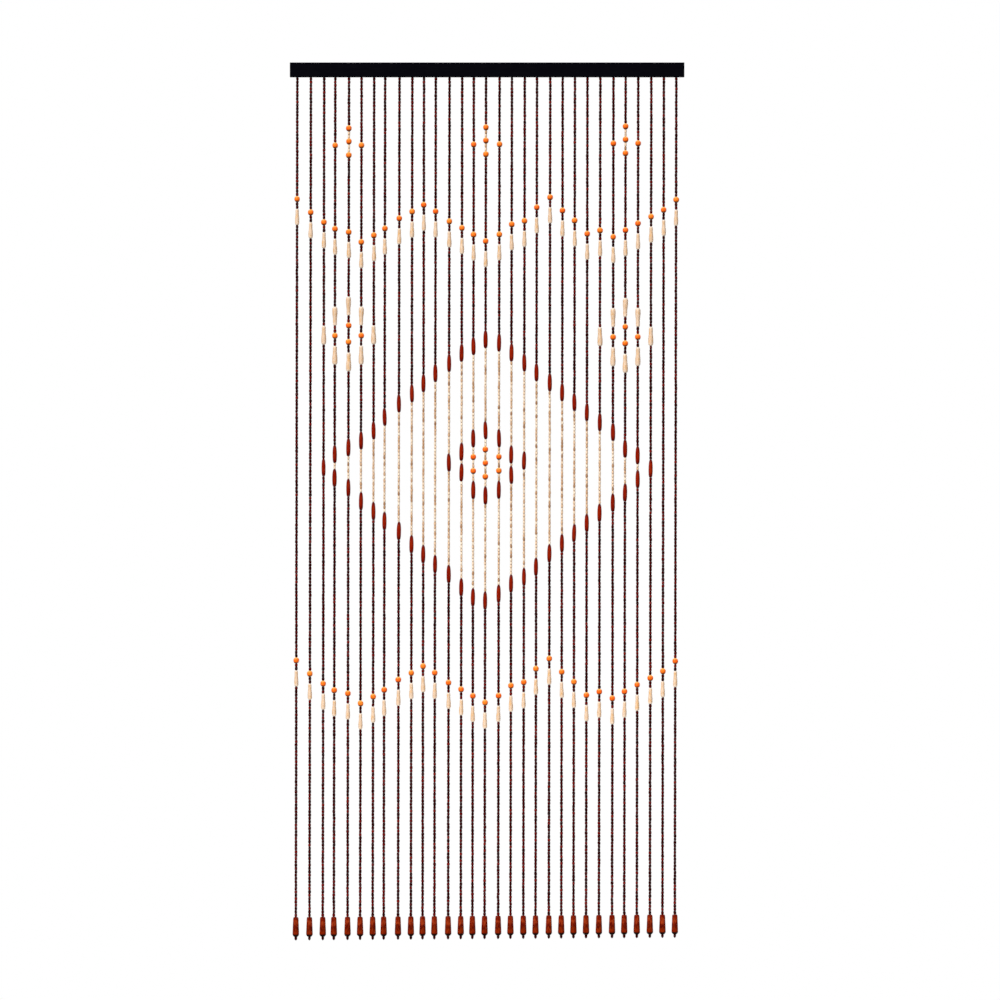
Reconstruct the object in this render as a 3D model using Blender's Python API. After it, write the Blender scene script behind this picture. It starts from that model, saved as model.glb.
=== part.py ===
# Bead curtain for a doorway: thirty-one strings of turned wooden beads under a black head rail.
# The origin is the middle of the rail's back face, which lies flat on the wall or lintel.
# X runs along the rail, the front faces -Y and +Z is up.
# Sizes are in millimetres, and each depth is measured down from the rail's underside.

from collections import namedtuple
import math

import bmesh
import bpy

MM = 0.001

# Head rail, with a groove along its underside.
RAIL_LENGTH = 900.0
RAIL_DEPTH = 15.0
RAIL_HEIGHT = 33.0
RAIL_EDGE = 0.8

# Heading strip that holds the strings' upper ends inside the groove.
STRIP_HEIGHT = 6.0
STRIP_RECESS = 1.0
STRIP_MARGIN = 6.0
CLEARANCE = 0.3

# Strings. The small beads' room is one step, and a string is as wide as their mean width.
BEAD_STEP = 7.63
STRING_HALF_WIDTH = 2.4
CORD_HALF_WIDTH = 1.0
LEAN = 3.5
RISE_PER_STRING = 0.2
LEVEL_STRING = 12

# A square section of this half-width stands for a round bead of radius 1.
SQUARE_FOR_ROUND = 0.9

# Turned pendant at the foot of each string, and the small bead that stops it.
PENDANT_TOP = 1914.6
PENDANT_HEIGHT = 45.0
PENDANT_SIDES = 8
BORE_RADIUS = 2.0
STOPPER_LENGTH = 7.0

# Zigzags: each string has a ball and a drop below it, at one depth in either zigzag.
ZIGZAG_DEPTHS = (292.0, 1344.8)
DROP_BELOW_BALL = 40.4

# Diamond of long oval beads: the depths of its upper and lower tips.
DIAMOND_TOP = 598.9
DIAMOND_FOOT = 1195.2

# spacing: from the string on its left, or from the rail's left end for the first string
# zigzag: bead steps from the zigzag's own depth down to the ball
# upper: bead steps from the diamond's top down to the oval bead of its upper sides
# lower: bead steps from the diamond's foot up to the oval bead of its lower sides
String = namedtuple("String", "spacing zigzag upper lower")
STRINGS = (
    String(16.9, -2, None, None),
    String(31.1, 2, None, None),
    String(30.3, 5, 38, None),
    String(25.3, 7, 34, 37),
    String(31.3, 8, 32, 34),
    String(28.7, 11, 30, 30),
    String(28.7, 9, 27, 27),
    String(25.1, 7, 23, 24),
    String(32.7, 4, 19, 21),
    String(29.3, 2, 16, 17),
    String(26.7, 0, 13, 14),
    String(26.9, 2, 10, 11),
    String(31.4, 5, 7, 8),
    String(28.8, 7, 4, 4),
    String(26.6, 9, 2, 1),
    String(27.8, 11, 0, 0),
    String(30.9, 9, 1, 2),
    String(28.2, 6, 4, 5),
    String(29.3, 5, 7, 7),
    String(27.9, 1, 10, 10),
    String(30.3, -2, 13, 14),
    String(28.4, 2, 16, 17),
    String(27.9, 5, 19, 20),
    String(28.6, 9, 22, 23),
    String(29.4, 8, 25, 26),
    String(30.0, 10, 28, 29),
    String(27.8, 8, 33, 32),
    String(28.7, 6, 35, 36),
    String(29.8, 4, 39, None),
    String(28.7, 2, None, None),
    String(28.3, -1, None, None),
)

# Motifs, charted bead by bead. across counts strings from the motif's middle string, and
# depth is that of the bead's middle.
Place = namedtuple("Place", "across kind depth")
CREST = (
    Place((0,), "ball", 116.1),
    Place((0,), "ball", 146.0),
    Place((0,), "ball", 177.4),
    Place((-1, 1), "ball", 155.0),
)
FLOWER = (
    Place((0,), "petal_up", 521.0),
    Place((0,), "ball", 566.1),
    Place((0,), "ball", 603.8),
    Place((0,), "petal", 648.7),
    Place((-1, 1), "petal_up", 543.9),
    Place((-1, 1), "ball", 589.3),
    Place((-1, 1), "petal", 633.3),
    Place((-2, 2), "petal", 587.2),
)
RING = (
    Place((0,), "oval", 806.4),
    Place((0,), "ball", 851.1),
    Place((0,), "ball", 882.1),
    Place((0,), "ball", 913.1),
    Place((0,), "oval", 955.5),
    Place((-1, 1), "oval", 824.9),
    Place((-1, 1), "ball", 868.1),
    Place((-1, 1), "ball", 899.9),
    Place((-1, 1), "oval", 942.6),
    Place((-2,), "oval", 855.2),
    Place((-2,), "oval", 902.2),
    Place((2,), "oval", 862.3),
    Place((2,), "oval", 908.8),
    Place((-3,), "oval", 879.6),
    Place((3,), "oval", 876.4),
)

# string: the motif's middle string; lower: bead steps that it hangs below its chart
Motif = namedtuple("Motif", "chart string lower")
MOTIFS = (
    Motif(CREST, 5, 0),
    Motif(CREST, 16, 0),
    Motif(CREST, 27, 0),
    Motif(FLOWER, 5, 0),
    Motif(FLOWER, 27, 1),
    Motif(RING, 16, 0),
)

# Outlines of the large beads, from the top: along is a share of the length.
Ring = namedtuple("Ring", "along radius")
Bead = namedtuple("Bead", "length rings")
BEADS = {
    "ball": Bead(14.6, (Ring(0, 3.0), Ring(0.22, 6.4), Ring(0.6, 6.5), Ring(1, 2.9))),
    "drop": Bead(37.5, (Ring(0, 2.9), Ring(0.4, 3.6), Ring(0.82, 4.9), Ring(1, 2.9))),
    "petal": Bead(44.0, (Ring(0, 3.4), Ring(0.4, 4.0), Ring(0.82, 5.7), Ring(1, 3.2))),
    "petal_up": Bead(44.0, (Ring(0, 3.2), Ring(0.18, 5.7), Ring(0.6, 4.0), Ring(1, 3.4))),
    "oval": Bead(40.0, (Ring(0, 2.4), Ring(0.33, 4.3), Ring(0.75, 4.7), Ring(1, 2.8))),
}
STOPPER_RINGS = (Ring(0, 2.1), Ring(0.5, 3.0), Ring(1, 1.9))

# Outline of the pendant outside its bore: down is measured from its top.
Turning = namedtuple("Turning", "down radius")
PENDANT_OUTLINE = (
    Turning(0.0, 4.3),
    Turning(2.4, 5.8),
    Turning(38.6, 7.4),
    Turning(42.2, 6.5),
    Turning(PENDANT_HEIGHT, 3.2),
)

# Finishes: colour, roughness and metallic value.
Finish = namedtuple("Finish", "color roughness metallic")
BLACK_PAINT = Finish((0.012, 0.012, 0.014, 1.0), 0.45, 0.0)
DARK_WOOD = Finish((0.035, 0.008, 0.006, 1.0), 0.4, 0.0)
RED_WOOD = Finish((0.40, 0.045, 0.012, 1.0), 0.35, 0.0)


def clear_scene():
    for old in list(bpy.data.objects):
        bpy.data.objects.remove(old, do_unlink=True)


def make_material(name, finish):
    material = bpy.data.materials.new(name)
    material.use_nodes = True
    shader = material.node_tree.nodes["Principled BSDF"]
    shader.inputs["Base Color"].default_value = finish.color
    shader.inputs["Roughness"].default_value = finish.roughness
    shader.inputs["Metallic"].default_value = finish.metallic
    return material


def finish_object(name, bm, material, smooth_angle=None):
    bmesh.ops.recalc_face_normals(bm, faces=bm.faces)
    mesh = bpy.data.meshes.new(name)
    bm.to_mesh(mesh)
    bm.free()
    if smooth_angle is not None:
        mesh.shade_smooth()
        mesh.set_sharp_from_angle(angle=math.radians(smooth_angle))
    mesh.materials.append(material)
    made = bpy.data.objects.new(name, mesh)
    bpy.context.scene.collection.objects.link(made)
    return made


def box(bm, low, high):
    corners = bmesh.ops.create_cube(bm, size=1.0)["verts"]
    for corner in corners:
        for axis in range(3):
            end = high[axis] if corner.co[axis] > 0 else low[axis]
            corner.co[axis] = end * MM


def bridge(bm, upper, lower, skip=()):
    count = len(upper)
    for start in range(count):
        if start not in skip:
            following = (start + 1) % count
            bm.faces.new((upper[start], upper[following], lower[following], lower[start]))


# Heights and places along the rail.
RAIL_UNDERSIDE = -RAIL_HEIGHT / 2
STRING_PLANE = -RAIL_DEPTH / 2
STRING_FOOT = PENDANT_TOP + PENDANT_HEIGHT + CLEARANCE + STOPPER_LENGTH


def string_positions():
    positions = []
    x = -RAIL_LENGTH / 2
    for row in STRINGS:
        x += row.spacing
        positions.append(x)
    return positions


def x_at(position, depth):
    return position - LEAN * depth / STRING_FOOT


def hung(number, depth):
    return depth - RISE_PER_STRING * (number - LEVEL_STRING)


# Large beads of one string, from the top, as pairs of depth and kind.
def large_beads(number):
    row = STRINGS[number - 1]
    found = []
    for zigzag_depth in ZIGZAG_DEPTHS:
        ball_depth = zigzag_depth + row.zigzag * BEAD_STEP
        found.append((ball_depth, "ball"))
        found.append((ball_depth + DROP_BELOW_BALL, "drop"))
    if row.upper is not None:
        found.append((DIAMOND_TOP + row.upper * BEAD_STEP, "oval"))
    if row.lower is not None:
        found.append((DIAMOND_FOOT - row.lower * BEAD_STEP, "oval"))
    for motif in MOTIFS:
        for place in motif.chart:
            if number - motif.string in place.across:
                found.append((place.depth + motif.lower * BEAD_STEP, place.kind))
    return sorted(found)


# Sections of one string, from the top, as pairs of depth and half-width.
def string_sections(number):
    sections = []
    for depth, kind in large_beads(number):
        bead = BEADS[kind]
        top = depth - bead.length / 2
        for ring in bead.rings:
            half_width = ring.radius * SQUARE_FOR_ROUND
            sections.append((top + ring.along * bead.length, half_width))
    shoulder = PENDANT_TOP - CLEARANCE
    seat = PENDANT_TOP + PENDANT_HEIGHT + CLEARANCE
    sections.append((shoulder, STRING_HALF_WIDTH))
    sections.append((shoulder, CORD_HALF_WIDTH))
    sections.append((seat, CORD_HALF_WIDTH))
    for ring in STOPPER_RINGS:
        half_width = ring.radius * SQUARE_FOR_ROUND
        sections.append((seat + ring.along * STOPPER_LENGTH, half_width))
    return [(hung(number, depth), half_width) for depth, half_width in sections]


# Heading strip: a square ring of points on either side of each string, joined lengthwise.
# Corners 0 and 1 are the lower ones, so the face between them is left open over a string.
def strip_ring(bm, x):
    low = RAIL_UNDERSIDE + STRIP_RECESS
    high = low + STRIP_HEIGHT
    front = STRING_PLANE - STRING_HALF_WIDTH
    back = STRING_PLANE + STRING_HALF_WIDTH
    corners = ((front, low), (back, low), (back, high), (front, high))
    return [bm.verts.new((x * MM, y * MM, z * MM)) for y, z in corners]


def section_ring(bm, x, depth, half_width):
    z = (RAIL_UNDERSIDE - depth) * MM
    signs = ((-1, -1), (1, -1), (1, 1), (-1, 1))
    ring = []
    for sign_x, sign_y in signs:
        point_x = (x + sign_x * half_width) * MM
        point_y = (STRING_PLANE + sign_y * half_width) * MM
        ring.append(bm.verts.new((point_x, point_y, z)))
    return ring


def make_strings(material):
    bm = bmesh.new()
    positions = string_positions()
    previous = strip_ring(bm, positions[0] - STRIP_MARGIN)
    bm.faces.new(previous)
    for number, position in enumerate(positions, start=1):
        left = strip_ring(bm, position - STRING_HALF_WIDTH)
        right = strip_ring(bm, position + STRING_HALF_WIDTH)
        bridge(bm, previous, left)
        bridge(bm, left, right, skip=(0,))
        upper = [left[0], right[0], right[1], left[1]]
        for depth, half_width in string_sections(number):
            lower = section_ring(bm, x_at(position, depth), depth, half_width)
            bridge(bm, upper, lower)
            upper = lower
        bm.faces.new(upper)
        previous = right
    last = strip_ring(bm, positions[-1] + STRIP_MARGIN)
    bridge(bm, previous, last)
    bm.faces.new(last)
    return finish_object("bead_strings", bm, material, smooth_angle=50)


def make_pendant(number, position, material):
    bm = bmesh.new()
    fullness = math.sqrt(2 * math.pi / PENDANT_SIDES / math.sin(2 * math.pi / PENDANT_SIDES))
    outline = [(turning.down, turning.radius * fullness) for turning in PENDANT_OUTLINE]
    outline.append((PENDANT_HEIGHT, BORE_RADIUS))
    outline.append((0.0, BORE_RADIUS))
    top = hung(number, PENDANT_TOP)
    rings = []
    for down, radius in outline:
        ring = []
        for side in range(PENDANT_SIDES):
            angle = 2 * math.pi * (side + 0.5) / PENDANT_SIDES
            z = -down * MM
            ring.append(bm.verts.new((radius * math.cos(angle) * MM, radius * math.sin(angle) * MM, z)))
        rings.append(ring)
    for index, ring in enumerate(rings):
        bridge(bm, ring, rings[(index + 1) % len(rings)])
    pendant = finish_object(f"pendant_{number:02d}", bm, material, smooth_angle=50)
    middle = x_at(position, top + PENDANT_HEIGHT / 2)
    pendant.location = (middle * MM, STRING_PLANE * MM, (RAIL_UNDERSIDE - top) * MM)
    return pendant


def make_head_rail(material):
    bm = bmesh.new()
    half = RAIL_LENGTH / 2
    box(bm, (-half, -RAIL_DEPTH, -RAIL_HEIGHT / 2), (half, 0.0, RAIL_HEIGHT / 2))
    rail = finish_object("head_rail", bm, material)
    eased = rail.modifiers.new("eased edges", "BEVEL")
    eased.width = RAIL_EDGE * MM
    eased.segments = 2

    positions = string_positions()
    half_groove = STRING_HALF_WIDTH + CLEARANCE
    start = positions[0] - STRIP_MARGIN - CLEARANCE
    end = positions[-1] + STRIP_MARGIN + CLEARANCE
    ceiling = RAIL_UNDERSIDE + STRIP_RECESS + STRIP_HEIGHT + CLEARANCE
    below = RAIL_UNDERSIDE - STRIP_HEIGHT
    bm = bmesh.new()
    box(bm, (start, STRING_PLANE - half_groove, below), (end, STRING_PLANE + half_groove, ceiling))
    cutter = finish_object("groove_cutter", bm, material)
    cutter.hide_render = True
    cutter.display_type = "WIRE"

    groove = rail.modifiers.new("groove", "BOOLEAN")
    groove.operation = "DIFFERENCE"
    groove.solver = "EXACT"
    groove.object = cutter
    return rail


def main():
    clear_scene()
    make_head_rail(make_material("black_paint", BLACK_PAINT))
    make_strings(make_material("dark_wood", DARK_WOOD))
    red_wood = make_material("red_wood", RED_WOOD)
    for number, position in enumerate(string_positions(), start=1):
        make_pendant(number, position, red_wood)


main()
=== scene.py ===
import math
from collections import namedtuple

import bmesh
import bpy
import numpy as np
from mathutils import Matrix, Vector


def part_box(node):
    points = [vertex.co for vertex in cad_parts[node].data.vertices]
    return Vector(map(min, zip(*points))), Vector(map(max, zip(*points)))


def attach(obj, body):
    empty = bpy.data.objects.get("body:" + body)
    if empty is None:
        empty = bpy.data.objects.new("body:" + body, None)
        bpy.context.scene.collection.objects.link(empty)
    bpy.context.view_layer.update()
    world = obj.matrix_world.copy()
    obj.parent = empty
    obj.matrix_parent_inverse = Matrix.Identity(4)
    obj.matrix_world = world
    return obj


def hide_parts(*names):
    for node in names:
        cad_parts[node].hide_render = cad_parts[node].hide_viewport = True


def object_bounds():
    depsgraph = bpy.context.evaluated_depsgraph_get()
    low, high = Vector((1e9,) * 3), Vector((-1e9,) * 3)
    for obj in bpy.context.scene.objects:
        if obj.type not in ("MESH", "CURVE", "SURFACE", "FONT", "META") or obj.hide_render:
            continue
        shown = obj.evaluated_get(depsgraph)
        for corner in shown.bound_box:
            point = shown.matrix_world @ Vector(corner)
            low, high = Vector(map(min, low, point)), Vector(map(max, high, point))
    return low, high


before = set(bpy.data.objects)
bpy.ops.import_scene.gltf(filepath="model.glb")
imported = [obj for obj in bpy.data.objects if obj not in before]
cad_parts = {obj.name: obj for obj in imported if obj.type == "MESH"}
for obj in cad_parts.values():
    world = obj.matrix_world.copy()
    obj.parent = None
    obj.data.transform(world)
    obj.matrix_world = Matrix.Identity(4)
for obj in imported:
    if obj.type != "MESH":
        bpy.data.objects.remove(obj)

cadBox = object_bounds()
mm = 0.001
railLow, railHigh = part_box("head_rail")
stringPlane = (railLow.y + railHigh.y) / 2
print("frame loaded")


# node helpers

def addNode(tree, kind, links=(), **values):
    node = tree.nodes.new(kind)
    for name, value in values.items():
        setattr(node, name, value)
    for name, source in links:
        tree.links.new(source, node.inputs[name])
    return node


def socketGroup(name, inputs, outputs):
    group = bpy.data.node_groups.new(name, "ShaderNodeTree")
    for label, kind, value in inputs:
        socket = group.interface.new_socket(label, in_out="INPUT", socket_type=kind)
        if value is not None:
            socket.default_value = value
    for label, kind in outputs:
        group.interface.new_socket(label, in_out="OUTPUT", socket_type=kind)
    return group, group.nodes.new("NodeGroupInput"), group.nodes.new("NodeGroupOutput")


def stretched(tree, vector, amounts):
    node = addNode(tree, "ShaderNodeVectorMath", [(0, vector)], operation="MULTIPLY")
    node.inputs[1].default_value = amounts
    return node.outputs[0]


def eased(tree, value, low, high):
    # 0 at low and 1 at high, smooth at both. low is a number or another node's output.
    node = addNode(tree, "ShaderNodeMapRange", [("Value", value)], interpolation_type="SMOOTHSTEP")
    node.inputs["From Max"].default_value = high
    if isinstance(low, float):
        node.inputs["From Min"].default_value = low
    else:
        tree.links.new(low, node.inputs["From Min"])
    return node.outputs[0]


# camera and studio

cameraSetup = {
    "sensor": 36,           # millimetres across
    "distance": 11.0,       # metres in front of the strings
    "across": 0.0294,       # the picture's middle, right of the rail's middle
    "height": -0.9815,      # the picture's middle, from the rail's mid-height
    "viewWidth": 2.2822,    # metres of curtain across the whole picture
    "farthest": 100,
}

studio = {
    "backdrop": 1.0,        # white behind the curtain
    "skyLight": 0.95,       # soft light from the upper left
    "shadeLight": 0.05,     # and from everywhere else
    "skyFrom": (-0.45, -0.2, 0.87),
    "skyEdge": -0.1,        # where it starts: -1 is right opposite, 1 is where it comes from
    "keyStrength": 3.2,     # the main lamp
    "keySpread": 28,        # degrees across
    "keyFrom": (-0.60, -0.78, 0.60),
    "fillStrength": 1.1,
    "fillSpread": 60,
    "fillFrom": (0.8, -1.0, 0.1),
    "backStrength": 1.7,    # lights the side that faces the wall
    "backSpread": 60,
    "backFrom": (0.35, 1.0, 0.35),
}

floorSetup = {
    "below": 0.35,          # metres under the curtain's foot
    "radius": 1.15,
    "sides": 96,
    "color": (0.86, 0.86, 0.85),
    "roughness": 0.8,
}


def placeCamera(setup):
    lens = bpy.data.cameras.new("camera")
    lens.sensor_width = setup["sensor"]
    lens.lens = setup["sensor"] * setup["distance"] / setup["viewWidth"]
    lens.clip_end = setup["farthest"]
    camera = bpy.data.objects.new("camera", lens)
    camera.location = (setup["across"], stringPlane - setup["distance"], setup["height"])
    camera.rotation_euler = (math.radians(90), 0, 0)
    bpy.context.scene.collection.objects.link(camera)
    bpy.context.scene.camera = camera


def placeLight(name, direction, strength, spread):
    lamp = bpy.data.lights.new(name, "SUN")
    lamp.angle = math.radians(spread)
    lamp.energy = strength
    light = bpy.data.objects.new(name, lamp)
    light.location = direction
    light.rotation_euler = Vector(direction).to_track_quat("Z", "Y").to_euler()
    bpy.context.scene.collection.objects.link(light)


def whiteWorld(setup):
    world = bpy.data.worlds.new("white studio")
    world.use_nodes = True
    tree = world.node_tree
    tree.nodes.clear()
    place = addNode(tree, "ShaderNodeTexCoord").outputs["Generated"]
    toSky = addNode(tree, "ShaderNodeVectorMath", [(0, place)], operation="DOT_PRODUCT")
    toSky.inputs[1].default_value = setup["skyFrom"]
    level = addNode(tree, "ShaderNodeMapRange", [("Value", toSky.outputs["Value"])])
    level.inputs["From Min"].default_value = setup["skyEdge"]
    level.inputs["To Min"].default_value = setup["shadeLight"]
    level.inputs["To Max"].default_value = setup["skyLight"]
    around = addNode(tree, "ShaderNodeBackground", [("Strength", level.outputs[0])])    # lights the beads
    seen = addNode(tree, "ShaderNodeBackground")    # what the camera sees
    seen.inputs["Color"].default_value = (1, 1, 1, 1)
    seen.inputs["Strength"].default_value = setup["backdrop"]
    path = addNode(tree, "ShaderNodeLightPath")
    choose = addNode(tree, "ShaderNodeMixShader", [
        (0, path.outputs["Is Camera Ray"]), (1, around.outputs[0]), (2, seen.outputs[0]),
    ])
    addNode(tree, "ShaderNodeOutputWorld", [("Surface", choose.outputs[0])])
    return world


def buildStudio(setup):
    scene = bpy.context.scene
    scene.view_settings.view_transform = "Standard"
    scene.view_settings.look = "None"
    scene.world = whiteWorld(setup)
    for name in ("key", "fill", "back"):
        placeLight(name, setup[name + "From"], setup[name + "Strength"], setup[name + "Spread"])


def paleFloorFinish(setup):
    # Pale from above, and clear from below, so that it hides nothing of the curtain.
    pale = bpy.data.materials.new("pale floor")
    pale.use_nodes = True
    tree = pale.node_tree
    shader = tree.nodes["Principled BSDF"]
    shader.inputs["Base Color"].default_value = (*setup["color"], 1)
    shader.inputs["Roughness"].default_value = setup["roughness"]
    face = addNode(tree, "ShaderNodeNewGeometry")
    clear = addNode(tree, "ShaderNodeBsdfTransparent")
    choose = addNode(tree, "ShaderNodeMixShader", [
        (0, face.outputs["Backfacing"]), (1, shader.outputs[0]), (2, clear.outputs[0]),
    ])
    tree.links.new(choose.outputs[0], tree.nodes["Material Output"].inputs["Surface"])
    return pale


def placeFloor(setup):
    bpy.ops.mesh.primitive_circle_add(vertices=setup["sides"], radius=setup["radius"],
                                      fill_type="NGON",
                                      location=(0, stringPlane, cadBox[0][2] - setup["below"]))
    floor = bpy.context.object
    floor.name = "floor"
    floor.data.materials.append(paleFloorFinish(setup))


placeCamera(cameraSetup)
buildStudio(studio)
placeFloor(floorSetup)
print("studio ready")


# node groups that the finishes share

woodPattern = {
    "fibreStretch": (1.0, 1.0, 0.12),    # fibres run along Z
    "fibreDetail": 5,
    "fibreRoughness": 0.65,
    "fibreWander": 0.4,
    "fibreRange": (0.34, 0.66),
    "patchStretch": (1.0, 1.0, 0.4),
    "patchDetail": 3,
    "patchRange": (0.34, 0.68),
}


def buildWoodGrain(pattern):
    # Fibres, broad patches of uneven stain, and a height for bump.
    group, given, result = socketGroup(
        "wood grain",
        (("Vector", "NodeSocketVector", None),
         ("Fibres", "NodeSocketFloat", 1.0),
         ("Patch Size", "NodeSocketFloat", 0.2)),
        (("Grain", "NodeSocketFloat"), ("Patches", "NodeSocketFloat"), ("Height", "NodeSocketFloat")),
    )
    along = stretched(group, given.outputs["Vector"], pattern["fibreStretch"])
    fibres = addNode(group, "ShaderNodeTexNoise",
                     [("Vector", along), ("Scale", given.outputs["Fibres"])])
    fibres.inputs["Detail"].default_value = pattern["fibreDetail"]
    fibres.inputs["Roughness"].default_value = pattern["fibreRoughness"]
    fibres.inputs["Distortion"].default_value = pattern["fibreWander"]
    wide = stretched(group, given.outputs["Vector"], pattern["patchStretch"])
    broad = addNode(group, "ShaderNodeTexNoise",
                    [("Vector", wide), ("Scale", given.outputs["Patch Size"])])
    broad.inputs["Detail"].default_value = pattern["patchDetail"]
    grain = eased(group, fibres.outputs[0], *pattern["fibreRange"])
    patches = eased(group, broad.outputs[0], *pattern["patchRange"])
    group.links.new(grain, result.inputs["Grain"])
    group.links.new(patches, result.inputs["Patches"])
    group.links.new(fibres.outputs[0], result.inputs["Height"])
    return group


def buildBeadEnds():
    # Masks that grow towards a bead's upper and lower hole.
    group, given, result = socketGroup(
        "bead ends",
        (("Upper Reach", "NodeSocketFloat", 0.1), ("Lower Reach", "NodeSocketFloat", 0.2)),
        (("Upper", "NodeSocketFloat"), ("Lower", "NodeSocketFloat")),
    )
    along = addNode(group, "ShaderNodeAttribute", attribute_name="beadAlong").outputs["Fac"]
    start = addNode(group, "ShaderNodeMath", [(1, given.outputs["Lower Reach"])], operation="SUBTRACT")
    start.inputs[0].default_value = 1.0
    upper = eased(group, along, given.outputs["Upper Reach"], 0.0)
    lower = eased(group, along, start.outputs[0], 1.0)
    group.links.new(upper, result.inputs["Upper"])
    group.links.new(lower, result.inputs["Lower"])
    return group


woodGrain = buildWoodGrain(woodPattern)
beadEnds = buildBeadEnds()


# finishes

class Finish:
    # One material, with the few steps that every stained wood here is mixed from.
    def __init__(self, name, roughness, specular, specularTint=(1.0, 1.0, 1.0)):
        self.material = bpy.data.materials.new(name)
        self.material.use_nodes = True
        self.tree = self.material.node_tree
        self.shader = self.tree.nodes["Principled BSDF"]
        self.shader.inputs["Roughness"].default_value = roughness
        self.shader.inputs["Specular IOR Level"].default_value = specular
        self.shader.inputs["Specular Tint"].default_value = (*specularTint, 1)

    def attribute(self, name, output="Fac"):
        return addNode(self.tree, "ShaderNodeAttribute", attribute_name=name).outputs[output]

    def grain(self, vector, fibres, patchSize):
        node = addNode(self.tree, "ShaderNodeGroup", [("Vector", vector)], node_tree=woodGrain)
        node.inputs["Fibres"].default_value = fibres
        node.inputs["Patch Size"].default_value = patchSize
        return node

    def ends(self, upper, lower):
        node = addNode(self.tree, "ShaderNodeGroup", node_tree=beadEnds)
        node.inputs["Upper Reach"].default_value = upper
        node.inputs["Lower Reach"].default_value = lower
        return node

    def mix(self, amount, first, second):
        # first and second are colours or the outputs of other nodes
        node = addNode(self.tree, "ShaderNodeMix", data_type="RGBA")
        self.tree.links.new(amount, node.inputs["Factor"])
        for slot, value in (("A", first), ("B", second)):
            socket = next(s for s in node.inputs if s.name == slot and s.type == "RGBA")
            if isinstance(value, tuple):
                socket.default_value = (*value, 1)
            else:
                self.tree.links.new(value, socket)
        return next(s for s in node.outputs if s.type == "RGBA")

    def share(self, value, low, high, most=1.0):
        # 0 up to low, and most from high on
        node = addNode(self.tree, "ShaderNodeMapRange", [("Value", value)])
        node.inputs["From Min"].default_value = low
        node.inputs["From Max"].default_value = high
        node.inputs["To Max"].default_value = most
        return node.outputs[0]

    def layered(self, grain, color, layers):
        for layer in layers:
            amount = self.share(grain.outputs[layer.mask], layer.low, layer.high, layer.most)
            color = self.mix(amount, color, layer.color)
        return color

    def ramp(self, value, stops):
        node = addNode(self.tree, "ShaderNodeValToRGB", [("Fac", value)])
        elements = node.color_ramp.elements
        while len(elements) < len(stops):
            elements.new(0.5)
        for element, (place, color) in zip(elements, stops):
            element.position = place
            element.color = (*color, 1)
        return node.outputs["Color"]

    def color(self, value):
        self.tree.links.new(value, self.shader.inputs["Base Color"])

    def roughness(self, value, low, high):
        node = addNode(self.tree, "ShaderNodeMapRange", [("Value", value)])
        node.inputs["To Min"].default_value = low
        node.inputs["To Max"].default_value = high
        self.tree.links.new(node.outputs[0], self.shader.inputs["Roughness"])

    def bump(self, height, strength, distance):
        node = addNode(self.tree, "ShaderNodeBump", [("Height", height)])
        node.inputs["Strength"].default_value = strength
        node.inputs["Distance"].default_value = distance
        self.tree.links.new(node.outputs[0], self.shader.inputs["Normal"])


# A colour laid over the wood, where its grain or its patches go from low to high.
Layer = namedtuple("Layer", "mask low high most color")

# In each wood below: roughness is that of its smoothest and its roughest grain, colour stops are
# the colours of its beads, each a share of the way through their tones (the pendant's also hold a
# painted highlight band and a painted shade band), and an end is how far it reaches along the bead, with
# its colour.

darkBeadWood = {    # near-black red-brown stain: every few beads are redder
    "specular": 0.06,
    "specularTint": (1.0, 0.25, 0.2),
    "roughness": (0.34, 0.55),
    "fibres": 1.4,
    "patchSize": 0.35,
    "colorStops": (
        (0.0, (0.007, 0.0008, 0.001)),
        (0.35, (0.022, 0.0008, 0.0010)),
        (0.65, (0.055, 0.0015, 0.0018)),
        (0.88, (0.115, 0.0030, 0.0030)),
        (1.0, (0.180, 0.008, 0.005)),
    ),
    "layers": (Layer("Grain", 0.2, 1.0, 0.4, (0.085, 0.003, 0.003)),),
    # painted shade: near-black at both ends, where the beads meet
    "upperEnd": (0.3, (0.004, 0.0005, 0.0006)),
    "lowerEnd": (0.34, (0.003, 0.0004, 0.0005)),
    "bump": (0.3, 0.0002),
}

naturalBeadWood = {    # unstained, from pale to tan, some with brown marks
    "specular": 0.2,
    "specularTint": (1.0, 1.0, 1.0),
    "roughness": (0.5, 0.5),
    "fibres": 1.1,
    "patchSize": 0.4,
    "colorStops": (
        (0.0, (0.88, 0.76, 0.60)),
        (0.3, (0.80, 0.62, 0.45)),
        (0.6, (0.72, 0.50, 0.33)),
        (0.85, (0.52, 0.30, 0.16)),
        (1.0, (0.30, 0.15, 0.07)),
    ),
    "layers": (
        Layer("Grain", 0.3, 1.0, 0.4, (0.46, 0.26, 0.12)),
        Layer("Patches", 0.7, 1.0, 0.5, (0.30, 0.13, 0.05)),
    ),
    # painted shade: brown at both ends, where the beads meet
    "upperEnd": (0.16, (0.30, 0.16, 0.08)),
    "lowerEnd": (0.2, (0.22, 0.11, 0.05)),
    "bump": (0.3, 0.0002),
}

orangeBallWood = {    # yellower on some balls, with a painted highlight over the top and painted shade round the lower hole
    "specular": 0.2,
    "specularTint": (1.0, 0.75, 0.5),
    "roughness": (0.3, 0.44),
    "fibres": 1.3,
    "patchSize": 0.22,
    "colorStops": (
        (0.0, (0.93, 0.105, 0.003)),
        (0.5, (0.95, 0.160, 0.006)),
        (1.0, (0.97, 0.235, 0.016)),
    ),
    "layers": (
        Layer("Patches", 0.0, 1.0, 0.35, (0.97, 0.27, 0.03)),
        Layer("Grain", 0.2, 1.0, 0.45, (0.86, 0.085, 0.002)),
    ),
    # painted highlight: pale yellow over the top of the ball
    "upperEnd": (0.34, (0.92, 0.44, 0.12)),
    # painted shade: dark brown over the lower part, round the hole
    "lowerEnd": (0.46, (0.04, 0.003, 0.001)),
    "bump": (0.25, 0.0003),
}

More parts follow.
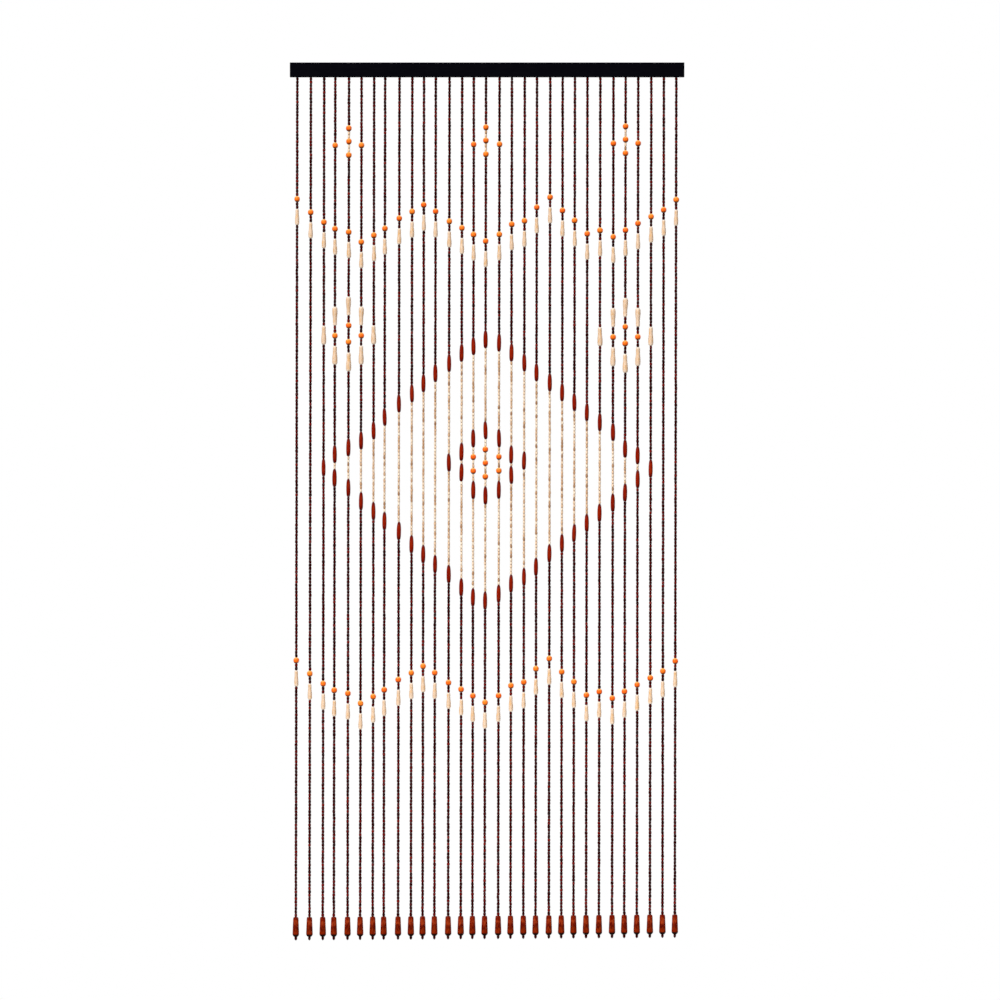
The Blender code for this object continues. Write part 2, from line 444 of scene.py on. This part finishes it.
creamDropWood = {    # pale, with tan grain and a few browner streaks, paler at its rounded ends
    "specular": 0.25,
    "specularTint": (1.0, 1.0, 1.0),
    "roughness": (0.34, 0.5),
    "fibres": 1.1,
    "patchSize": 0.30,
    "colorStops": ((0.0, (0.71, 0.53, 0.385)), (1.0, (0.67, 0.48, 0.335))),
    "layers": (
        Layer("Grain", 0.3, 1.0, 0.55, (0.60, 0.385, 0.22)),
        Layer("Patches", 0.5, 0.95, 0.8, (0.64, 0.35, 0.12)),
    ),
    "upperEnd": (0.14, (0.74, 0.61, 0.50)),
    "lowerEnd": (0.22, (0.84, 0.65, 0.49)),
    "bump": (0.3, 0.0003),
}

redOvalWood = {    # deep red, a little browner along the grain, with painted shade darkening both points
    "specular": 0.09,
    "specularTint": (1.0, 0.35, 0.2),
    "roughness": (0.28, 0.42),
    "fibres": 0.55,
    "patchSize": 0.12,
    "colorStops": ((0.0, (0.210, 0.0055, 0.0004)), (1.0, (0.170, 0.0035, 0.0003))),
    "layers": (Layer("Grain", 0.4, 1.0, 0.6, (0.330, 0.024, 0.001)),),
    # painted shade: darker towards both points
    "upperEnd": (0.3, (0.10, 0.0015, 0.0008)),
    "lowerEnd": (0.36, (0.085, 0.0015, 0.0008)),
    "bump": (0.25, 0.0003),
}

pendantWood = {    # red-brown stain with a painted highlight band and a painted shade band down its length, black on the cone underneath
    "specular": 0.05,
    "specularTint": (1.0, 0.4, 0.25),
    "roughness": (0.30, 0.42),
    "fibres": 0.9,
    "patchSize": 0.28,
    "wander": 0.22,      # how far the patches move the colour stops, the painted bands with them, down the pendant
    "colorStops": (
        (0.06, (0.110, 0.0030, 0.0006)),
        (0.23, (0.140, 0.0045, 0.0005)),
        # painted highlight: the light band about a third of the way down
        (0.40, (0.290, 0.036, 0.007)),
        (0.52, (0.130, 0.005, 0.0008)),
        # painted shade: the dark band a little past halfway down
        (0.67, (0.050, 0.0006, 0.0002)),
        (0.80, (0.175, 0.013, 0.0004)),
        (0.89, (0.155, 0.010, 0.0003)),
        (0.97, (0.170, 0.008, 0.0003)),
    ),
    "tone": (0.2, (0.16, 0.006, 0.0008)),    # the most that one pendant differs, and towards what
    "layers": (
        Layer("Grain", 0.6, 1.0, 0.4, (0.34, 0.045, 0.005)),
        Layer("Grain", 0.4, 0.0, 0.65, (0.055, 0.001, 0.0002)),
    ),
    "cone": (0.18, 0.45, (0.003, 0.0008, 0.0008)),    # its reach, how soon it is black, its colour
    "bump": (0.25, 0.0003),
}

blackPaint = {    # satin paint on wood, through which the grain just shows
    "specular": 0.03,
    "roughness": (0.38, 0.55),
    "fibres": 420,
    "patchSize": 14,
    "shades": ((0.0003, 0.0002, 0.0016), (0.0005, 0.0004, 0.0020)),
    "layers": (Layer("Grain", 0.75, 1.0, 0.5, (0.0012, 0.0012, 0.0026)),),
    "bump": (0.25, 0.0003),
}

blackThread = {
    "specular": 0.15,
    "roughness": 0.75,
    "twists": 900,
    "shades": ((0.006, 0.005, 0.005), (0.022, 0.018, 0.017)),
    "bump": (0.5, 0.0001),
}


def startFinish(name, look):
    tint = look.get("specularTint", (1.0, 1.0, 1.0))
    return Finish(name, look["roughness"][0], look["specular"], tint)


def endFinish(finish, look, grain, color):
    finish.color(color)
    finish.roughness(grain.outputs["Grain"], *look["roughness"])
    finish.bump(grain.outputs["Height"], *look["bump"])
    return finish.material


def beadFinish(name, look):
    finish = startFinish(name, look)
    grain = finish.grain(finish.attribute("beadPlace", "Vector"), look["fibres"], look["patchSize"])
    ramped = finish.ramp(finish.attribute("beadTone"), look["colorStops"])
    streaked = finish.layered(grain, ramped, look["layers"])
    upperReach, upperColor = look["upperEnd"]
    lowerReach, lowerColor = look["lowerEnd"]
    ends = finish.ends(upperReach, lowerReach)
    upper = finish.mix(ends.outputs["Upper"], streaked, upperColor)
    return endFinish(finish, look, grain, finish.mix(ends.outputs["Lower"], upper, lowerColor))


def pendantFinish(look):
    finish = startFinish("pendant wood", look)
    grain = finish.grain(finish.attribute("beadPlace", "Vector"), look["fibres"], look["patchSize"])
    wander = finish.share(grain.outputs["Patches"], 0.0, 1.0, look["wander"])
    down = addNode(finish.tree, "ShaderNodeMath",
                   [(0, finish.attribute("beadAlong")), (1, wander)], operation="ADD")
    ramped = finish.ramp(down.outputs[0], look["colorStops"])
    most, towards = look["tone"]
    toned = finish.mix(finish.share(finish.attribute("beadTone"), 0.0, 1.0, most), ramped, towards)
    streaked = finish.layered(grain, toned, look["layers"])
    reach, full, coneColor = look["cone"]
    cone = finish.share(finish.ends(0.0, reach).outputs["Lower"], 0.0, full)
    return endFinish(finish, look, grain, finish.mix(cone, streaked, coneColor))


def railFinish(look):
    finish = startFinish("black paint", look)
    place = addNode(finish.tree, "ShaderNodeTexCoord").outputs["Object"]
    turned = addNode(finish.tree, "ShaderNodeMapping", [("Vector", place)])
    turned.inputs["Rotation"].default_value = (0, math.radians(90), 0)    # fibres along the rail
    grain = finish.grain(turned.outputs[0], look["fibres"], look["patchSize"])
    shaded = finish.mix(grain.outputs["Patches"], *look["shades"])
    return endFinish(finish, look, grain, finish.layered(grain, shaded, look["layers"]))


def threadFinish(look):
    finish = Finish("black thread", look["roughness"], look["specular"])
    place = addNode(finish.tree, "ShaderNodeTexCoord").outputs["Object"]
    twist = addNode(finish.tree, "ShaderNodeTexWave", [("Vector", place)], bands_direction="DIAGONAL")
    twist.inputs["Scale"].default_value = look["twists"]
    finish.color(finish.mix(twist.outputs["Fac"], *look["shades"]))
    finish.bump(twist.outputs["Fac"], *look["bump"])
    return finish.material


finishes = {
    "black_paint": railFinish(blackPaint),
    "dark_wood": beadFinish("dark bead wood", darkBeadWood),
    "natural_wood": beadFinish("natural bead wood", naturalBeadWood),
    "orange_wood": beadFinish("orange ball wood", orangeBallWood),
    "cream_wood": beadFinish("cream drop wood", creamDropWood),
    "red_wood": beadFinish("red oval wood", redOvalWood),
    "pendant_wood": pendantFinish(pendantWood),
    "thread": threadFinish(blackThread),
}
print("finishes ready")


# the curtain's chart: where each bead hangs, in millimetres below the rail's underside

strings = {
    "count": 31,
    "lean": 3.5,            # the foot hangs this far left of the top
    "length": 1966.9,
    "beadStep": 7.63,       # room that a small bead takes
    "firstBead": 0.3,       # from the rail's underside to the first small bead
    "aboveEnd": 0.15,       # from the last small bead to the pendant
    "pendantTop": 1914.6,
    "pendantHeight": 45.0,
}

zigzag = {"depths": (292.0, 1344.8), "dropBelowBall": 40.4}
diamond = {"top": 598.9, "foot": 1195.2}


def table(columns, rows):
    Row = namedtuple("Row", columns)
    return tuple(Row(*values) for values in rows)


# Each string from left to right: bead steps from the zigzag's depth down to its ball, from the
# diamond's top down to its upper oval bead, and from the diamond's foot up to its lower one.
stringRows = table("zigzag upper lower", (
    (-2, None, None), (2, None, None), (5, 38, None), (7, 34, 37), (8, 32, 34), (11, 30, 30),
    (9, 27, 27), (7, 23, 24), (4, 19, 21), (2, 16, 17), (0, 13, 14), (2, 10, 11), (5, 7, 8),
    (7, 4, 4), (9, 2, 1), (11, 0, 0), (9, 1, 2), (6, 4, 5), (5, 7, 7), (1, 10, 10), (-2, 13, 14),
    (2, 16, 17), (5, 19, 20), (9, 22, 23), (8, 25, 26), (10, 28, 29), (8, 33, 32), (6, 35, 36),
    (4, 39, None), (2, None, None), (-1, None, None),
))

# Motifs: which strings, counted from the motif's middle one, the kind of bead, and its depth.
crest = table("across kind depth", (
    ((0,), "ball", 116.1), ((0,), "ball", 146.0), ((0,), "ball", 177.4), ((-1, 1), "ball", 155.0),
))
flower = table("across kind depth", (
    ((0,), "petalUp", 521.0), ((0,), "ball", 566.1), ((0,), "ball", 603.8), ((0,), "petal", 648.7),
    ((-1, 1), "petalUp", 543.9), ((-1, 1), "ball", 589.3), ((-1, 1), "petal", 633.3),
    ((-2, 2), "petal", 587.2),
))
centreRing = table("across kind depth", (
    ((0,), "oval", 806.4), ((0,), "ball", 851.1), ((0,), "ball", 882.1), ((0,), "ball", 913.1),
    ((0,), "oval", 955.5), ((-1, 1), "oval", 824.9), ((-1, 1), "ball", 868.1),
    ((-1, 1), "ball", 899.9), ((-1, 1), "oval", 942.6), ((-2,), "oval", 855.2),
    ((-2,), "oval", 902.2), ((2,), "oval", 862.3), ((2,), "oval", 908.8), ((-3,), "oval", 879.6),
    ((3,), "oval", 876.4),
))
motifs = table("chart middle lowered", (    # lowered: bead steps that it hangs lower
    (crest, 5, 0), (crest, 16, 0), (crest, 27, 0), (flower, 5, 0), (flower, 27, 1), (centreRing, 16, 0),
))

# Outlines from the top hole down: the share of the length, and of the widest radius.
smallOutline = (
    (0.0, 0.62), (0.06, 0.80), (0.17, 0.94), (0.37, 1.0), (0.65, 1.0), (0.86, 0.90), (1.0, 0.62),
)
ballOutline = (
    (0.0, 0.28), (0.02, 0.43), (0.06, 0.58), (0.13, 0.75), (0.22, 0.885), (0.34, 0.97), (0.47, 1.0),
    (0.60, 0.98), (0.73, 0.895), (0.84, 0.76), (0.92, 0.60), (0.97, 0.45), (1.0, 0.30),
)
dropOutline = (
    (0.0, 0.40), (0.015, 0.60), (0.045, 0.73), (0.10, 0.77), (0.22, 0.765), (0.34, 0.765), (0.42, 0.80),
    (0.5, 0.88), (0.58, 0.95), (0.68, 0.99), (0.8, 1.0), (0.88, 0.975), (0.94, 0.88), (0.98, 0.68),
    (1.0, 0.44),
)
ovalOutline = (
    (0.0, 0.36), (0.02, 0.53), (0.06, 0.67), (0.12, 0.78), (0.2, 0.87), (0.32, 0.955), (0.45, 1.0),
    (0.58, 1.0), (0.7, 0.98), (0.8, 0.94), (0.88, 0.87), (0.94, 0.77), (0.98, 0.63), (1.0, 0.46),
)


def turnedOver(outline):
    return tuple((1 - along, radius) for along, radius in reversed(outline))


beadKinds = {    # raise: how far the bead's middle is above its charted depth
    "ball": {"piece": "orangeBalls", "slot": "orange_wood", "length": 14.0, "radius": 6.7,
             "raise": 0.5, "outline": ballOutline, "sides": 24},
    "drop": {"piece": "creamDrops", "slot": "cream_wood", "length": 37.0, "radius": 4.95,
             "raise": 0.0, "outline": dropOutline, "sides": 18},
    "petal": {"piece": "creamPetals", "slot": "cream_wood", "length": 43.2, "radius": 5.95,
              "raise": 0.0, "outline": dropOutline, "sides": 20},
    "petalUp": {"piece": "creamPetalsUp", "slot": "cream_wood", "length": 43.2, "radius": 5.95,
                "raise": 0.0, "outline": turnedOver(dropOutline), "sides": 20},
    "oval": {"piece": "redOvals", "slot": "red_wood", "length": 40.8, "radius": 4.95,
             "raise": -0.3, "outline": ovalOutline, "sides": 18},
}


def hangingLines():
    # Each string's place, from its own pendant in the frame.
    lines = []
    for number in range(1, strings["count"] + 1):
        low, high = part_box(f"pendant_{number:02d}")
        top = (railLow.z - high.z) / mm
        footX = (low.x + high.x) / 2 / mm
        share = (top + strings["pendantHeight"] / 2) / strings["length"]
        lines.append({
            "number": number,
            "x": footX + strings["lean"] * share,
            "lift": strings["pendantTop"] - top,
        })
    return lines


def xAt(line, depth):
    return line["x"] - strings["lean"] * depth / strings["length"]


def largeBeadsOn(number):
    # Each bead's depth and kind, and the spans of depth where the small beads are natural wood.
    row = stringRows[number - 1]
    found, pale = [], []
    for depth in zigzag["depths"]:
        ballDepth = depth + row.zigzag * strings["beadStep"]
        found.append((ballDepth, "ball"))
        found.append((ballDepth + zigzag["dropBelowBall"], "drop"))
    if row.upper is not None:
        upper = diamond["top"] + row.upper * strings["beadStep"]
        found.append((upper, "oval"))
    if row.lower is not None:
        lower = diamond["foot"] - row.lower * strings["beadStep"]
        found.append((lower, "oval"))
        pale.append((upper, lower))
    for motif in motifs:
        placed = [(place.depth + motif.lowered * strings["beadStep"], place.kind)
                  for place in motif.chart if number - motif.middle in place.across]
        found += placed
        if motif.chart is crest and len(placed) > 1:
            pale.append((min(placed)[0], max(placed)[0]))
    return sorted(found), pale


def topOf(depth, kind):
    return depth - beadKinds[kind]["raise"] - beadKinds[kind]["length"] / 2


def smallBeadsOn(line, large, pale):
    # Fills the room between the large beads with rows: top, length, and whether it is natural wood.
    edges = [(None, strings["firstBead"] + line["lift"])]
    for depth, kind in large:
        top = topOf(depth, kind)
        edges.append((top, top + beadKinds[kind]["length"]))
    edges.append((strings["pendantTop"] - strings["aboveEnd"], None))
    rows = []
    for (ignored, start), (end, ignored) in zip(edges, edges[1:]):
        count = round((end - start) / strings["beadStep"])
        if count < 1:
            continue
        room = (end - start) / count
        natural = any(low < (start + end) / 2 < high for low, high in pale)
        rows += [(start + index * room, room, natural) for index in range(count)]
    return rows


# turned shapes, many to a mesh

# In millimetres and radians, with z measured up from the rail's mid-height.
Bead = namedtuple("Bead", "x y top length radius spin leanX leanY tone")

unrolling = {    # how a bead is laid out in its own cell of the map, which is 1 by 1
    "lengthInRadii": 3,
    "unboredTop": 0.86,        # without a bore, the room above this is for the two ends
    "endMiddles": (0.25, 0.75),
    "endHeight": 0.94,
    "endRadius": 0.05,
    "margin": 0.05,            # left free round it
}
woodSpread = 400    # each bead is cut from its own place in the grain, up to this many mm off


def lathe(outline, sides, bore):
    # Rings of one bead of length 1 and radius 1, with its faces and its map.
    rings = list(outline)
    if bore:
        rings += [(1.0, bore), (0.0, bore)]
    along = np.array([ring[0] for ring in rings])
    radius = np.array([ring[1] for ring in rings])
    count = len(rings)
    spans = count if bore else count - 1
    closed = np.append(np.arange(count), 0)[: spans + 1]
    reach = np.hypot(np.diff(along[closed] * unrolling["lengthInRadii"]), np.diff(radius[closed]))
    travel = np.append(0, np.cumsum(reach)) / reach.sum()
    faces, places = [], []
    mapTop = 1.0 if bore else unrolling["unboredTop"]
    for span in range(spans):
        upper, lower = closed[span], closed[span + 1]
        for side in range(sides):
            following = (side + 1) % sides
            faces.append([upper * sides + side, lower * sides + side,
                          lower * sides + following, upper * sides + following])
            left, right = side / sides, (side + 1) / sides
            high, low = travel[span] * mapTop, travel[span + 1] * mapTop
            places.append([(left, high), (left, low), (right, low), (right, high)])
    if not bore:
        size, height = unrolling["endRadius"], unrolling["endHeight"]
        turn = 2 * math.pi * np.arange(sides) / sides
        for first, order, middle in zip((0, (count - 1) * sides), (1, -1), unrolling["endMiddles"]):
            faces.append([first + side for side in range(sides)][::order])
            circle = [(middle + size * math.cos(a), height + size * math.sin(a)) for a in turn]
            places.append(circle[::order])
    return {"along": along, "radius": radius, "sides": sides, "faces": faces, "places": places}


def beadPoints(bead, shape):
    # By bead, ring and side: each point's place in the frame, and its place in the bead.
    angle = 2 * math.pi * (np.arange(shape["sides"]) + 0.5) / shape["sides"] + bead.spin
    down = bead.length * shape["along"][:, None] * np.ones_like(angle)
    localX = bead.radius * shape["radius"][:, None] * np.cos(angle)
    localY = bead.radius * shape["radius"][:, None] * np.sin(angle)
    fromMiddle = bead.length / 2 - down
    x = bead.x + localX + fromMiddle * bead.leanX
    y = bead.y + localY + fromMiddle * bead.leanY
    return np.stack([x, y, bead.top - down], -1), np.stack([localX, localY, -down], -1)


def joinBeads(name, points, shape):
    number = len(points)
    perBead = len(shape["along"]) * shape["sides"]
    oneBead = np.concatenate([np.array(face) for face in shape["faces"]])
    corners = (oneBead[None, :] + perBead * np.arange(number)[:, None]).ravel()
    sizes = np.tile([len(face) for face in shape["faces"]], number)
    mesh = bpy.data.meshes.new(name)
    mesh.vertices.add(number * perBead)
    mesh.vertices.foreach_set("co", (points * mm).ravel())
    mesh.loops.add(len(corners))
    mesh.loops.foreach_set("vertex_index", corners.astype(np.int32))
    mesh.polygons.add(len(sizes))
    mesh.polygons.foreach_set("loop_start", np.append(0, np.cumsum(sizes)[:-1]).astype(np.int32))
    mesh.update(calc_edges=True)
    mesh.validate()
    return mesh


def unrollBeads(mesh, number, shape):
    # One cell of the map for each bead, unrolled round its axis.
    columns = math.ceil(math.sqrt(number))
    cell = np.stack([np.arange(number) % columns, np.arange(number) // columns], -1)
    inner = np.concatenate([np.array(place, float) for place in shape["places"]])
    inner = unrolling["margin"] + (1 - 2 * unrolling["margin"]) * inner
    unrolled = (cell[:, None, :] + inner[None, :, :]) / columns
    layer = mesh.uv_layers.new(name="OFBake")
    layer.uv.foreach_set("vector", unrolled.astype(np.float32).ravel())


def turnedPiece(name, beads, shape, slot, replaced, sharp=50):
    bead = Bead(*np.asarray(beads, float).T[:, :, None, None])    # each column, for all the beads
    points, own = beadPoints(bead, shape)
    mesh = joinBeads(name, points, shape)
    mesh.shade_smooth()
    mesh.set_sharp_from_angle(angle=math.radians(sharp))
    unrollBeads(mesh, len(beads), shape)

    # What the finishes read: each bead's own tone, its ends, and its place in its own wood.
    chance = np.random.default_rng(list(name.encode()))
    own += chance.uniform(-woodSpread, woodSpread, (len(beads), 3))[:, None, None, :]
    everyPoint = np.ones(own.shape[:3])
    for label, kind, field, values in (
        ("beadTone", "FLOAT", "value", bead.tone * everyPoint),
        ("beadAlong", "FLOAT", "value", shape["along"][:, None] * everyPoint),
        ("beadPlace", "FLOAT_VECTOR", "vector", own),
    ):
        attribute = mesh.attributes.new(label, kind, "POINT")
        attribute.data.foreach_set(field, np.ascontiguousarray(values, np.float32).ravel())

    piece = bpy.data.objects.new(name, mesh)
    bpy.context.scene.collection.objects.link(piece)
    dressPiece(piece, slot, replaced)


def dressPiece(piece, slot, replaced):
    piece.data.materials.append(finishes[slot])
    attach(piece, "root")
    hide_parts(replaced)


lines = hangingLines()
stringSlope = strings["lean"] / strings["length"]    # sideways for each millimetre up
noWobble = {"sideways": 0.0, "gap": 0.0, "size": 0.0, "tilt": 0.0}


def beadRow(line, top, length, radius, chance, wobble, tone):
    # One bead on its string: hung a hair loose, turned and tilted a little.
    depth = top - line["lift"]
    middleX = xAt(line, depth + length / 2)
    return Bead(
        x=middleX + chance.normal(0, wobble["sideways"]),
        y=stringPlane / mm + chance.normal(0, wobble["sideways"]),
        top=railLow.z / mm - depth,
        length=length - wobble["gap"],
        radius=radius * chance.normal(1, wobble["size"]),
        spin=chance.uniform(0, 2 * math.pi),
        leanX=stringSlope + chance.normal(0, wobble["tilt"]),
        leanY=chance.normal(0, wobble["tilt"]),
        tone=tone,
    )


smallBead = {
    "radius": 3.25,
    "naturalRadius": 2.8,
    "sides": 8,
    "wobble": {"sideways": 0.12, "gap": 0.05, "size": 0.035, "tilt": 0.03},
    "perPiece": 1600,    # beads joined in one piece
    "seed": 11,
}


def makeSmallBeads(setup):
    chance = np.random.default_rng(setup["seed"])
    shape = lathe(smallOutline, setup["sides"], None)
    dark, natural = [], []
    for line in lines:
        large, pale = largeBeadsOn(line["number"])
        for top, length, isNatural in smallBeadsOn(line, large, pale):
            kept = natural if isNatural else dark
            radius = setup["naturalRadius"] if isNatural else setup["radius"]
            kept.append(beadRow(line, top, length, radius, chance, setup["wobble"], chance.random()))
    pieces = math.ceil(len(dark) / setup["perPiece"])
    for index in range(pieces):
        batch = dark[index * setup["perPiece"]:(index + 1) * setup["perPiece"]]
        turnedPiece(f"darkBeads{index + 1}", batch, shape, "dark_wood", "bead_strings")
    turnedPiece("naturalBeads", natural, shape, "natural_wood", "bead_strings")
    print("small beads:", len(dark), "dark and", len(natural), "natural")


largeBead = {
    "bore": 0.8,         # radius of the hole
    "wobble": {"sideways": 0.15, "gap": 0.2, "size": 0.02, "tilt": 0.012},
    "seed": 23,
}


def makeLargeBeads(setup):
    chance = np.random.default_rng(setup["seed"])
    found = {kind: [] for kind in beadKinds}
    for line in lines:
        for depth, kind in largeBeadsOn(line["number"])[0]:
            made = beadKinds[kind]
            found[kind].append(beadRow(line, topOf(depth, kind), made["length"], made["radius"],
                                       chance, setup["wobble"], chance.random()))
    for kind, rows in found.items():
        made = beadKinds[kind]
        shape = lathe(made["outline"], made["sides"], setup["bore"] / made["radius"])
        turnedPiece(made["piece"], rows, shape, made["slot"], "bead_strings")
        print(made["piece"], len(rows))


pendant = {
    "outline": (  # millimetres from the top, and the radius there
        (0.0, 3.7), (0.3, 4.6), (0.9, 5.3), (1.9, 5.8), (3.4, 6.12), (5.5, 6.3), (9.0, 6.42), (14.0, 6.6),
        (20.0, 6.85), (26.0, 7.1), (31.0, 7.3), (35.0, 7.45), (38.0, 7.5), (39.8, 7.45), (41.0, 7.15),
        (42.0, 6.65), (43.0, 5.9), (44.0, 5.0), (44.7, 4.3), (45.0, 3.8),
    ),
    "bore": 1.1,
    "sides": 28,
    "radius": 7.5,
    "wobble": {"sideways": 0.0, "gap": 0.0, "size": 0.003, "tilt": 0.002},
    "seed": 31,
}


def makePendants(setup):
    chance = np.random.default_rng(setup["seed"])
    height = strings["pendantHeight"]
    outline = [(down / height, radius / setup["radius"]) for down, radius in setup["outline"]]
    shape = lathe(outline, setup["sides"], setup["bore"] / setup["radius"])
    for line in lines:
        number = line["number"]
        row = beadRow(line, strings["pendantTop"], height, setup["radius"],
                      chance, setup["wobble"], chance.random())
        turnedPiece(f"pendant{number:02d}", [row], shape, "pendant_wood", f"pendant_{number:02d}")


stopper = {
    "below": 0.12,       # under the pendant's foot
    "radius": 3.1,
    "outline": (
        (0.0, 0.86), (0.07, 0.95), (0.25, 1.0), (0.6, 1.0), (0.85, 0.86), (0.96, 0.68), (1.0, 0.5),
    ),
    "bore": 0.7,
    "darkest": 0.4,      # the share of the stain's range that stoppers have
    "sides": 16,
    "wobble": {"sideways": 0.05, "gap": 0.0, "size": 0.02, "tilt": 0.02},
    "seed": 41,
}


def makeStoppers(setup):
    chance = np.random.default_rng(setup["seed"])
    shape = lathe(setup["outline"], setup["sides"], setup["bore"] / setup["radius"])
    top = strings["pendantTop"] + strings["pendantHeight"] + setup["below"]
    length = strings["length"] - top
    rows = []
    for line in lines:
        tone = setup["darkest"] * chance.random()
        rows.append(beadRow(line, top, length, setup["radius"], chance, setup["wobble"], tone))
    turnedPiece("stopperBeads", rows, shape, "dark_wood", "bead_strings")


thread = {
    "radius": 0.6,
    "sides": 8,
    "intoStrip": 3.0,    # how far each thread runs up into the heading strip
    "footKnot": {"radius": 1.35, "height": 2.4, "below": 1.2},    # below: past the stopper's foot
    "headKnot": {"radius": 1.75, "height": 1.3, "below": 0.2},    # below: past the rail's underside
    "knotOutline": (
        (0.0, 0.5), (0.12, 0.8), (0.32, 0.98), (0.46, 0.9), (0.6, 1.0), (0.86, 0.8), (1.0, 0.42),
    ),
    "knotSides": 9,
    "sharp": 70,         # edges over this angle, in degrees, aren't smoothed
    "tone": 0.5,
}


def makeThreads(setup):
    spins = np.random.default_rng(0)
    head, foot = setup["headKnot"], setup["footKnot"]
    threads, knots = [], []
    for line in lines:
        start = line["lift"] - setup["intoStrip"]
        headTop = line["lift"] + head["below"] - head["height"]
        footTop = strings["length"] + foot["below"] - foot["height"]
        for rows, top, length, radius in (
            (threads, start, strings["length"] - start, setup["radius"]),
            (knots, headTop, head["height"], head["radius"]),
            (knots, footTop, foot["height"], foot["radius"]),
        ):
            rows.append(beadRow(line, top, length, radius, spins, noWobble, setup["tone"]))
    tube = lathe(((0.0, 1.0), (1.0, 1.0)), setup["sides"], None)
    knot = lathe(setup["knotOutline"], setup["knotSides"], None)
    turnedPiece("threads", threads, tube, "thread", "bead_strings", setup["sharp"])
    turnedPiece("knots", knots, knot, "thread", "bead_strings", setup["sharp"])


headingStrip = {
    "margin": 6.0,       # past the outermost strings
    "depth": 4.8,
    "height": 6.0,
    "recess": 1.0,       # above the rail's underside
    "corner": 0.9,       # its folded edges
    "fold": 0.3,         # the share of a corner that its fold rounds off
    "rib": 2.0,          # from one rib of the weave to the next
    "ribHeight": 0.16,
    "pinch": 0.35,       # how far a stitch over a string pulls it in
    "pinchReach": 1.75,
    "sharp": 60,
}


def foldedCorner(halfDepth, halfHeight, setup):
    # One corner of the tape's section, from its side round to its edge.
    corner = setup["corner"]
    fold = corner * setup["fold"]
    return (
        (halfDepth, halfHeight - corner),
        (halfDepth - fold, halfHeight - fold),
        (halfDepth - corner, halfHeight),
    )


def makeHeadingStrip(setup):
    # A folded tape with cross ribs, drawn in a little where each string is stitched on.
    left = lines[0]["x"] - setup["margin"]
    right = lines[-1]["x"] + setup["margin"]
    bottom = railLow.z / mm + setup["recess"]
    middle = bottom + setup["height"] / 2
    steps = 2 * round((right - left) / setup["rib"])
    hung = np.array([line["x"] for line in lines])
    bm = bmesh.new()
    previous = None
    for step in range(steps + 1):
        x = left + (right - left) * step / steps
        drawn = setup["pinch"] * np.exp(-((x - hung) / setup["pinchReach"]) ** 2).max()
        inset = drawn + (setup["ribHeight"] if step % 2 else 0.0)
        fold = foldedCorner(setup["depth"] / 2 - inset, setup["height"] / 2 - inset, setup)
        ring = []
        for signY, signZ in ((-1, -1), (1, -1), (1, 1), (-1, 1)):
            for across, up in fold if signY * signZ > 0 else fold[::-1]:
                point = (x, stringPlane / mm + signY * across, middle + signZ * up)
                ring.append(bm.verts.new([value * mm for value in point]))
        if previous is None:
            bm.faces.new(ring[::-1])
        else:
            for side in range(len(ring)):
                following = (side + 1) % len(ring)
                bm.faces.new((previous[side], previous[following], ring[following], ring[side]))
        previous = ring
    bm.faces.new(previous)
    bmesh.ops.recalc_face_normals(bm, faces=bm.faces)
    mesh = bpy.data.meshes.new("headingStrip")
    bm.to_mesh(mesh)
    bm.free()
    mesh.shade_smooth()
    mesh.set_sharp_from_angle(angle=math.radians(setup["sharp"]))
    strip = bpy.data.objects.new("headingStrip", mesh)
    bpy.context.scene.collection.objects.link(strip)
    dressPiece(strip, "thread", "bead_strings")


def dressHeadRail():
    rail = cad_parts["head_rail"]
    rail.material_slots[0].material = finishes["black_paint"]


dressHeadRail()
makeHeadingStrip(headingStrip)
makeThreads(thread)
makeSmallBeads(smallBead)
makeLargeBeads(largeBead)
makePendants(pendant)
makeStoppers(stopper)
print("beads strung")
